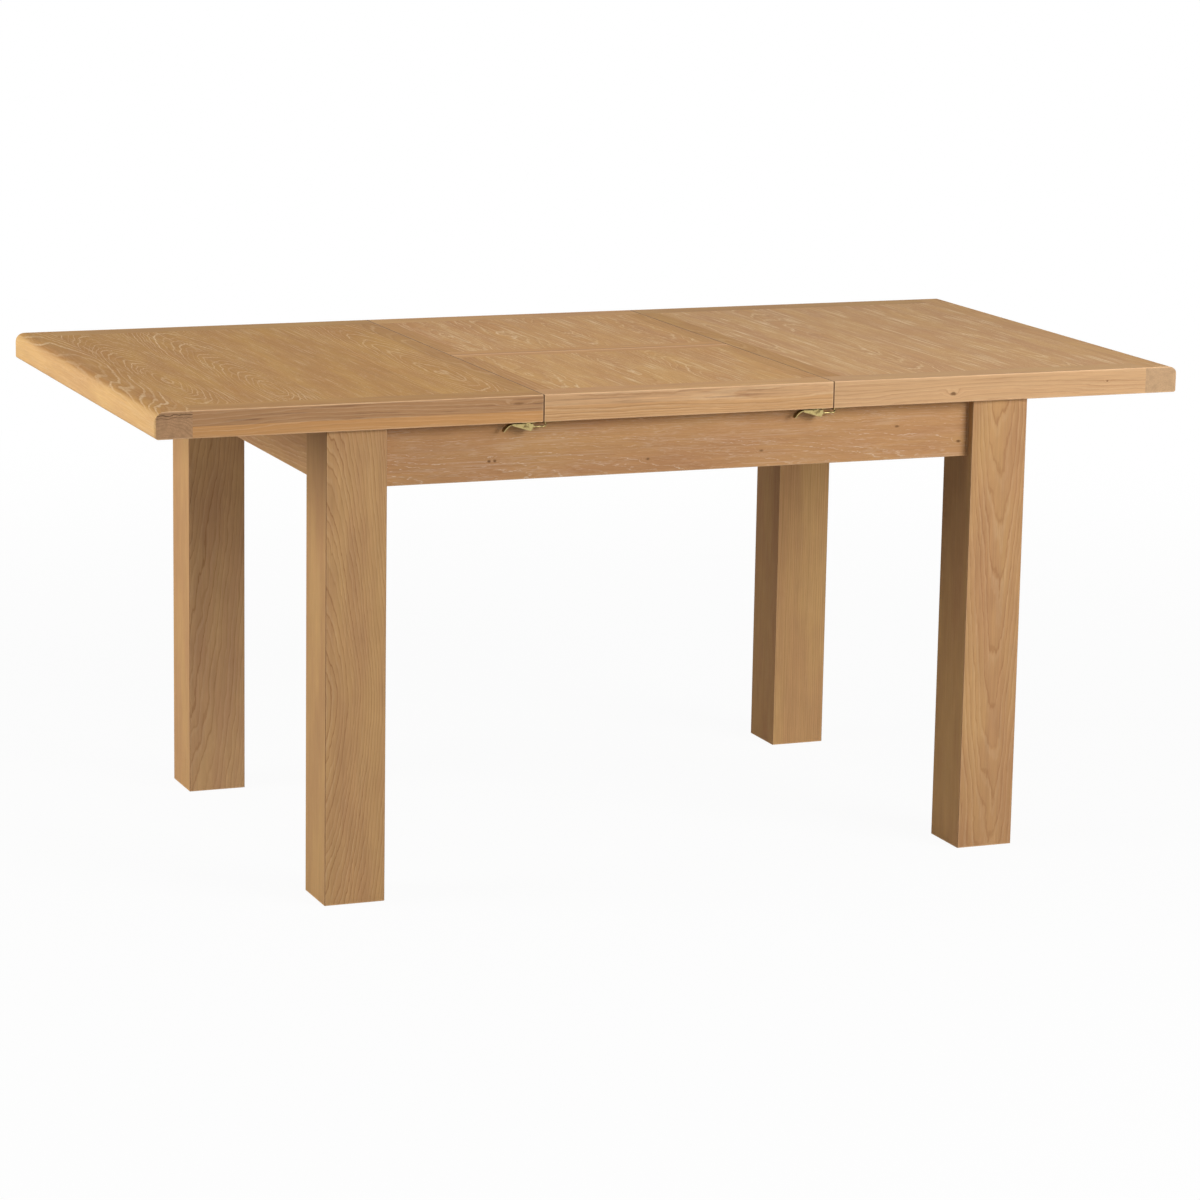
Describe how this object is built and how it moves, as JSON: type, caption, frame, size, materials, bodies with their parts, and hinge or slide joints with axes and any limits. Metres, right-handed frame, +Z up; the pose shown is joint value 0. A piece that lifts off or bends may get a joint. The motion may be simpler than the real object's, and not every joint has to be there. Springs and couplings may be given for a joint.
{
  "type": "extending dining table",
  "caption": "Oak dining table whose end tops slide apart on a legged frame for a centre leaf that folds in half, with brass lever latches at the seams.",
  "frame": {"origin": "on the floor, under the middle of the table", "axes": "+X along the table towards the right end top, +Y from front to back, +Z up"},
  "size_m": [1.7124, 0.85, 0.78],
  "materials": {
    "top_oak": "limed oak veneer, satin lacquer",
    "edge_oak": "solid oak, satin lacquer",
    "frame_oak": "solid oak, satin lacquer",
    "inner_timber": "planed hardwood, unfinished",
    "steel": "zinc plated",
    "brass": "brass plated",
    "glide": "moulded nylon"
  },
  "bodies": {
    "frame": {"apron_back": "frame_oak", "apron_front": "frame_oak", "apron_left": "frame_oak", "apron_right": "frame_oak", "corner_blocks": "inner_timber", "cross_rails": "inner_timber", "floor_glides": "glide", "guide_bars": "inner_timber", "hanger_bolts": "steel", "hanger_nuts": "steel", "hanger_washers": "steel", "keeper_leaf_front": "brass", "latch_base_leaf": "brass", "leaf_front_end_strips": "top_oak", "leaf_front_fold_strip": "top_oak", "leaf_front_hinge_barrels": "brass", "leaf_front_lipping": "edge_oak", "leaf_front_panel": "top_oak", "leaf_front_screws": "steel", "leg_back_left": "frame_oak", "leg_back_right": "frame_oak", "leg_front_left": "frame_oak", "leg_front_right": "frame_oak", "pivot_blocks": "inner_timber", "pivot_brackets": "steel", "pivot_pins": "steel", "rail_screws": "steel"},
    "latch_back_left": {"latch_hook_back_left": "brass", "latch_lever_back_left": "brass"},
    "latch_back_right": {"latch_hook_back_right": "brass", "latch_lever_back_right": "brass"},
    "latch_front_left": {"latch_hook_front_left": "brass", "latch_lever_front_left": "brass"},
    "latch_front_right": {"latch_hook_front_right": "brass", "latch_lever_front_right": "brass"},
    "leaf_back_half": {"keepers_leaf_back": "brass", "leaf_back_end_strips": "top_oak", "leaf_back_fold_strip": "top_oak", "leaf_back_hinge_barrels": "brass", "leaf_back_lipping": "edge_oak", "leaf_back_panel": "top_oak", "leaf_back_screws": "steel"},
    "left_top": {"latch_bases_left_top": "brass", "left_top_back_lipping": "edge_oak", "left_top_end_board": "edge_oak", "left_top_front_lipping": "edge_oak", "left_top_panel": "top_oak", "left_top_runners": "inner_timber", "left_top_screws": "steel", "left_top_seam_strip": "top_oak"},
    "right_top": {"keeper_right_top": "brass", "latch_base_right_top": "brass", "right_top_back_lipping": "edge_oak", "right_top_end_board": "edge_oak", "right_top_front_lipping": "edge_oak", "right_top_panel": "top_oak", "right_top_runners": "inner_timber", "right_top_screws": "steel", "right_top_seam_strip": "top_oak"}
  },
  "joints": [
    {"name": "left_top_slide", "type": "slide", "parent": "frame", "child": "left_top", "axis": [-1, 0, 0], "range_m": [0, 0.03]},
    {"name": "right_top_slide", "type": "slide", "parent": "frame", "child": "right_top", "axis": [1, 0, 0], "range_m": [0, 0.03]},
    {"name": "leaf_fold", "type": "hinge", "parent": "frame", "child": "leaf_back_half", "pos_m": [0, 0, 0.7803], "axis": [1, 0, 0], "range_deg": [0, 180]},
    {"name": "latch_front_left_turn", "type": "hinge", "parent": "left_top", "child": "latch_front_left", "pos_m": [-0.2652, -0.4125, 0.7315], "axis": [0, 1, 0], "range_deg": [-5.8, 5]},
    {"name": "latch_back_left_turn", "type": "hinge", "parent": "left_top", "child": "latch_back_left", "pos_m": [-0.2652, 0.4125, 0.7315], "axis": [0, 1, 0], "range_deg": [-5.8, 5]},
    {"name": "latch_front_right_turn", "type": "hinge", "parent": "frame", "child": "latch_front_right", "pos_m": [0.2212, -0.4125, 0.7315], "axis": [0, 1, 0], "range_deg": [-5.8, 5]},
    {"name": "latch_back_right_turn", "type": "hinge", "parent": "right_top", "child": "latch_back_right", "pos_m": [0.2652, 0.4125, 0.7315], "axis": [0, -1, 0], "range_deg": [-5.8, 5]}
  ]
}
